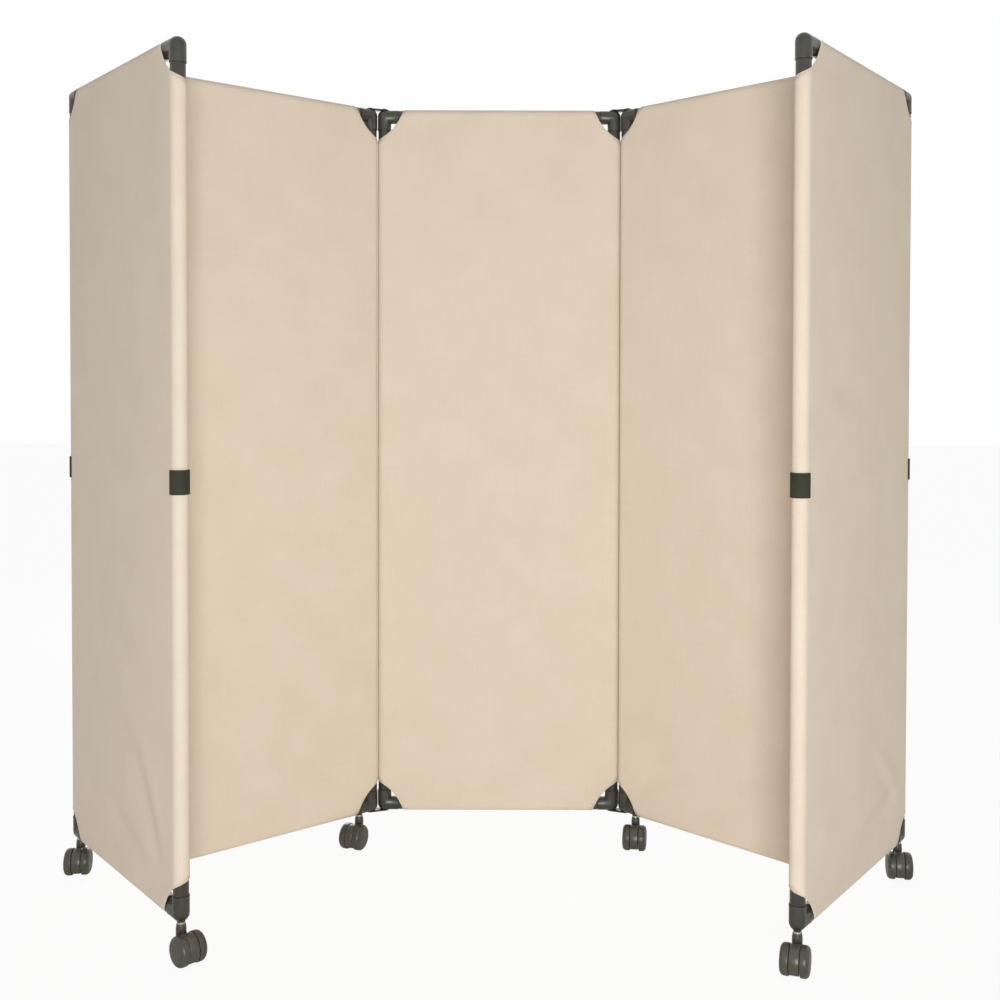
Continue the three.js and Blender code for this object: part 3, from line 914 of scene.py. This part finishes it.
# Arms along +X and -Z. The outer corner is round and the inner one is mitred. The seat outside the corner
# is raised for a caster's stem, level (0) for a hinge plate, or not there at all (None).
def elbowShape(bossHeight, hasFoot=False):
    radius, count = elbow["radius"], elbow["sides"]
    lip, wide, edge = elbow["lip"], elbow["lipWidth"], elbow["lipRounding"]
    top = panel["tubeRadius"] if bossHeight == 0 else radius + lip  # flat under a hinge plate
    points, faces = [], []

    def ringAt(distance, size, along):
        ring = []
        for i in range(count):
            angle = 2 * math.pi * i / count
            out, y = size * math.cos(angle), size * math.sin(angle)
            point = (distance, y, min(out, top)) if along == "x" else (-out, y, -distance)
            ring.append(len(points))
            points.append(point)
        return ring

    # a ring round the corner, from the arm along X (0) to the arm along Z (1)
    def cornerRing(bendShare):
        ring = []
        bend = math.pi / 2 * bendShare
        for i in range(count):
            angle = 2 * math.pi * i / count
            out, y = radius * math.cos(angle), radius * math.sin(angle)
            if out >= 0:
                point = (-out * math.sin(bend), y, min(out * math.cos(bend), top))
            else:
                point = (-out, y, out)
            ring.append(len(points))
            points.append(point)
        return ring

    def skin(first, second):
        for i in range(count):
            j = (i + 1) % count
            faces.append((first[i], first[j], second[j], second[i]))

    def armProfile(arm):
        profile = [
            (arm - wide - lip, radius, 0),
            (arm - wide, radius + lip, edge / 2),
            (arm, radius + lip, edge),
            (arm, elbow["spigotRadius"], 0),
            (arm + elbow["spigot"], elbow["spigotRadius"], 0),
        ]
        if arm > panel["elbowArm"]:
            step, narrow = elbow["footStep"], elbow["footRadius"]
            slope = step + elbow["footSlope"]
            profile[:3] = [(step, radius, 0), (slope, narrow, edge), (arm, narrow, edge)]
        return rounded(profile, 3)

    across = panel["footArm"] if hasFoot else panel["elbowArm"]
    for along, share, arm in (("x", 0, across), ("z", 1, panel["elbowArm"])):
        before = cornerRing(share)
        for distance, size in armProfile(arm):
            ring = ringAt(distance, size, along)
            skin(before, ring)
            before = ring
        faces.append(tuple(before))
    before = cornerRing(0)
    for i in range(1, elbow["cornerSteps"] + 1):
        ring = cornerRing(i / elbow["cornerSteps"])
        skin(before, ring)
        before = ring

    def bossShape(height, setback):
        size, face, edge = elbow["bossRadius"], panel["tubeRadius"] + height, elbow["bossEdge"]
        profile = rounded([(0, 0, 0), (size, 0, 0), (size, face, edge), (0, face, 0)], 3)
        return moved(turned(profile, elbow["bossSides"]), Matrix.Translation((setback, 0, 0)))

    shapes = [(points, faces)]
    if bossHeight is not None:
        shapes.append(bossShape(bossHeight, 0))
    if hasFoot:
        shapes.append(bossShape(elbow["boss"], elbow["footSetback"]))
    return joinShapes(*shapes)


# From the top corner at -X, as modelled, to each of the four: (side, level)
cornerTurns = {
    (-1, 1): Matrix.Identity(4),
    (1, 1): Matrix.Rotation(math.pi, 4, "Z"),
    (-1, -1): Matrix.Rotation(math.pi, 4, "X"),
    (1, -1): Matrix.Rotation(math.pi, 4, "Y"),
}
elbowMeshes = {
    "plain": meshFrom("elbowPlain", elbowShape(None), finishes["elbow"]),
    "seated": meshFrom("elbowSeated", elbowShape(0.0), finishes["elbow"]),
    "raised": meshFrom("elbowRaised", elbowShape(elbow["boss"]), finishes["elbow"]),
    "foot": meshFrom("elbowFoot", elbowShape(0.0, True), finishes["elbow"]),
}
for name, place in places.items():
    for side, end in zip((-1, 1), ends[name]):
        for height, level in (("bottom", -1), ("top", 1)):
            kind = "seated"
            if name.endswith("wing"):
                kind = "plain" if level > 0 else "raised"
            elif level < 0 and end == "hinge":
                kind = "foot"
            z = panel["top"] if level > 0 else panel["bottom"]
            at = place @ Matrix.Translation((side * panel["post"], 0, z)) @ cornerTurns[side, level]
            node = f"{name}_{height}_{end}_elbow"
            addPiece(f"{node}_fitting", elbowMeshes[kind], at, bodies[name], "elbow", node)
print("elbows made")

# Hinge links
link = {"thickness": 0.003, "halfWidth": 0.011, "edge": 0.0007, "endSteps": 20}


# A plate with round ends, from the centre panel's post at the origin to the inner panel's along +X
def linkPlate():
    half, steps = link["halfWidth"], link["endSteps"]
    outline = []
    for x, first in ((panel["postSpacing"], -math.pi / 2), (0, math.pi / 2)):
        for i in range(steps + 1):
            angle = first + math.pi * i / steps
            outline.append((x + half * math.cos(angle), half * math.sin(angle)))
    return slab(outline, 0, link["thickness"])


for side in ("left", "right"):
    start, end = joints[f"{side}_link_fold"], joints[f"{side}_panel_fold"]
    turn = math.atan2(end.y - start.y, end.x - start.x)
    at = Matrix.Translation((start.x, start.y, 0)) @ Matrix.Rotation(turn, 4, "Z")
    above = panel["top"] + panel["tubeRadius"] + panel["gap"]
    below = panel["bottom"] - panel["tubeRadius"] - panel["gap"] - link["thickness"]
    body, node = f"{side}_hinge_link", f"{side}_link"
    shape = joinShapes(*[moved(linkPlate(), Matrix.Translation((0, 0, z))) for z in (above, below)])
    plates = meshFrom(f"{node}_plates", shape, finishes["link"], 50, link["edge"])
    addPiece(f"{node}_plates", plates, at, body, "link", node)
    seats = [(x, 0, above + link["thickness"]) for x in (0, panel["postSpacing"])]
    shape = joinShapes(*[moved(headShape(), Matrix.Translation(seat)) for seat in seats])
    heads = meshFrom(f"{node}_heads", shape, finishes["head"])
    addPiece(f"{node}_heads", heads, at, body, "link", node)
print("hinge links made")

# Casters. The wheels trail along +X of the caster's own axes, with the stem at the origin.
caster = {
    "height": 0.0754,
    "trail": 0.028,
    "axle": 0.030,
    "wheelRadius": 0.0303,
    "wheelInside": 0.011,  # from the caster's middle to a wheel
    "wheelWidth": 0.017,
    "wheelRounding": 0.0088,
    "wheelDome": 0.0012,
    "wheelGroove": 0.0105,  # from a wheel's edge to the groove round its outer face
    "wheelSides": 64,
    "capRadius": 0.0045,
    "webHalf": 0.010,
    "webRadius": 0.0296,
    "webFlat": 0.0085,  # from the floor to the flat under the web
    "webEdge": 0.0014,
    "webSteps": 52,
    "neckTop": 0.0092,  # radii
    "neckBase": 0.0104,
    "neckFoot": 0.036,  # from the floor
    "neckSides": 48,
    "collarRadius": 0.0085,
    "collarHeight": 0.0034,
}


def wheelShape(side):
    radius, inside, wide = caster["wheelRadius"], caster["wheelInside"], caster["wheelWidth"]
    outside = inside + wide
    dome, cap = caster["wheelDome"], caster["capRadius"]
    groove = radius - caster["wheelGroove"]
    profile = rounded(
        [
            (0, inside, 0),
            (radius, inside, 0.0012),
            (radius, outside, caster["wheelRounding"]),
            (groove, outside + dome * 0.4, 0.0006),
            (groove - 0.0005, outside + dome * 0.1, 0.0003),
            (groove - 0.0020, outside + dome * 0.3, 0.0006),
            (cap + 0.0007, outside + dome, 0.0005),
            (cap + 0.0004, outside + dome * 0.5, 0.0002),
            (cap, outside + dome * 0.5, 0.0001),
            (cap - 0.0002, outside + dome * 1.1, 0.0004),
            (0, outside + dome * 1.2, 0),
        ],
        5,
    )
    shape = turned(profile, caster["wheelSides"])
    return moved(shape, Matrix.Rotation(-side * math.pi / 2, 4, "X"))


# Between the wheels, seen from the side: a disc with a flat below
def webShape():
    radius = caster["webRadius"]
    drop = math.asin((caster["axle"] - caster["webFlat"]) / radius)
    steps = caster["webSteps"]
    outline = []
    for i in range(steps + 1):
        angle = (math.pi + 2 * drop) * i / steps - drop
        outline.append((radius * math.cos(angle), radius * math.sin(angle)))
    half = caster["webHalf"]
    return moved(slab(outline, -half, half), Matrix.Rotation(math.pi / 2, 4, "X"))


def neckShape():
    top = caster["height"] - caster["collarHeight"]
    base, small = caster["neckBase"], caster["neckTop"]
    profile = rounded(
        [
            (0, top, 0),
            (small, top, 0.0008),
            (base, top - 0.010, 0.020),
            (base, caster["neckFoot"] + 0.004, 0.004),
            (base - 0.004, caster["neckFoot"], 0.002),
            (0, caster["neckFoot"], 0),
        ],
        6,
    )
    return turned(profile, caster["neckSides"])


def collarShape():
    top, radius = caster["height"], caster["collarRadius"]
    low = top - caster["collarHeight"]
    profile = rounded(
        [
            (0, low - 0.001, 0),
            (radius, low - 0.001, 0.0002),
            (radius, low + 0.0012, 0.0003),
            (radius - 0.0008, low + 0.0016, 0.0002),
            (radius - 0.0008, top, 0.0005),
            (0, top, 0),
        ],
        3,
    )
    return turned(profile, caster["neckSides"])


axleAt = Matrix.Translation((caster["trail"], 0, caster["axle"]))
casterMeshes = {
    "web": meshFrom("casterWeb", moved(webShape(), axleAt), finishes["caster"], 50, caster["webEdge"]),
    "neck": meshFrom("casterNeck", neckShape(), finishes["caster"], 60),
    "collar": meshFrom("casterCollar", collarShape(), finishes["zinc"]),
    "wheels": meshFrom(
        "casterWheels",
        moved(joinShapes(wheelShape(1), wheelShape(-1)), axleAt),
        finishes["wheel"],
        50,
    ),
}
for side in ("left", "right"):
    for corner in ("hinge", "near", "far"):
        name = f"{side}_{corner}"
        stem, axle = joints[f"{name}_swivel"], joints[f"{name}_roll"]
        turn = math.atan2(axle.y - stem.y, axle.x - stem.x)
        at = Matrix.Translation((stem.x, stem.y, 0)) @ Matrix.Rotation(turn, 4, "Z")
        whole = f"{name}_caster"
        for part in ("web", "neck", "collar"):
            addPiece(f"{whole}_{part}", casterMeshes[part], at, whole, "caster_body", f"{whole}_body")
        wheels = casterMeshes["wheels"]
        addPiece(f"{whole}_pair", wheels, at, f"{name}_wheels", "wheel", f"{whole}_wheels")
print("casters made")

# Plain studio: white to the camera, soft light from the camera's side, and a floor that keeps the shadow
studio = {
    "world": 0.46,
    "front": {"power": 59.0, "size": (0.8, 1.6), "at": (0.30, -3.3, 0.85), "aim": (0, 0, 0.80)},
    "back": {"power": 60.0, "size": (2.4, 1.8), "at": (-0.6, 4.2, 1.9), "aim": (0, 0, 0.9)},
    "floorSize": 40,
    "floorDrop": 0.0004,  # below the wheels
    "floorColor": (0.93, 0.93, 0.92),
    "floorRoughness": 0.8,
    "floorSpecular": 0.1,
    "floorWhite": 0.92,  # share of plain white that the camera sees over the shadow
}
scene = bpy.context.scene
scene.view_settings.view_transform = "Standard"
world = bpy.data.worlds.new("studio")
scene.world = world
world.use_nodes = True
tree = world.node_tree
tree.nodes.clear()
path = addNode(tree, "ShaderNodeLightPath")
seen = mathNode(tree, "MAXIMUM", path.outputs["Is Camera Ray"], path.outputs["Is Glossy Ray"])
seen = mathNode(tree, "MAXIMUM", seen, path.outputs["Is Transmission Ray"])
soft = addNode(tree, "ShaderNodeBackground", Color=(1, 1, 1, 1), Strength=studio["world"])
white = addNode(tree, "ShaderNodeBackground", Color=(1, 1, 1, 1), Strength=1.0)
both = mixShaders(tree, seen, soft.outputs[0], white.outputs[0])
addNode(tree, "ShaderNodeOutputWorld", {"Surface": both})

for side in ("front", "back"):
    values = studio[side]
    lampData = bpy.data.lights.new(f"{side}Lamp", "AREA")
    lampData.shape = "RECTANGLE"
    lampData.size, lampData.size_y = values["size"]
    lampData.energy = values["power"]
    lamp = bpy.data.objects.new(f"{side}Lamp", lampData)
    scene.collection.objects.link(lamp)
    lamp.location = values["at"]
    aim = Vector(values["aim"]) - lamp.location
    lamp.rotation_euler = aim.to_track_quat("-Z", "Y").to_euler()
    lamp.visible_camera = False

floorMesh = bpy.data.meshes.new("floor")
reach = studio["floorSize"] / 2
corners = [(-reach, -reach, 0), (reach, -reach, 0), (reach, reach, 0), (-reach, reach, 0)]
floorMesh.from_pydata(corners, [], [(0, 1, 2, 3)])
floor = bpy.data.objects.new("floor", floorMesh)
scene.collection.objects.link(floor)
floor.location.z = -studio["floorDrop"]
roughness, specular = studio["floorRoughness"], studio["floorSpecular"]
material, tree, shader = newMaterial("paleFloor", studio["floorColor"], roughness, specular=specular)
glow = addNode(tree, "ShaderNodeEmission", Color=(1, 1, 1, 1), Strength=1.0)
path = addNode(tree, "ShaderNodeLightPath")
share = mathNode(tree, "MULTIPLY", path.outputs["Is Camera Ray"], studio["floorWhite"])
both = mixShaders(tree, share, shader.outputs[0], glow.outputs[0])
tree.links.new(both, tree.nodes["Material Output"].inputs["Surface"])
floorMesh.materials.append(material)
print("studio lit")
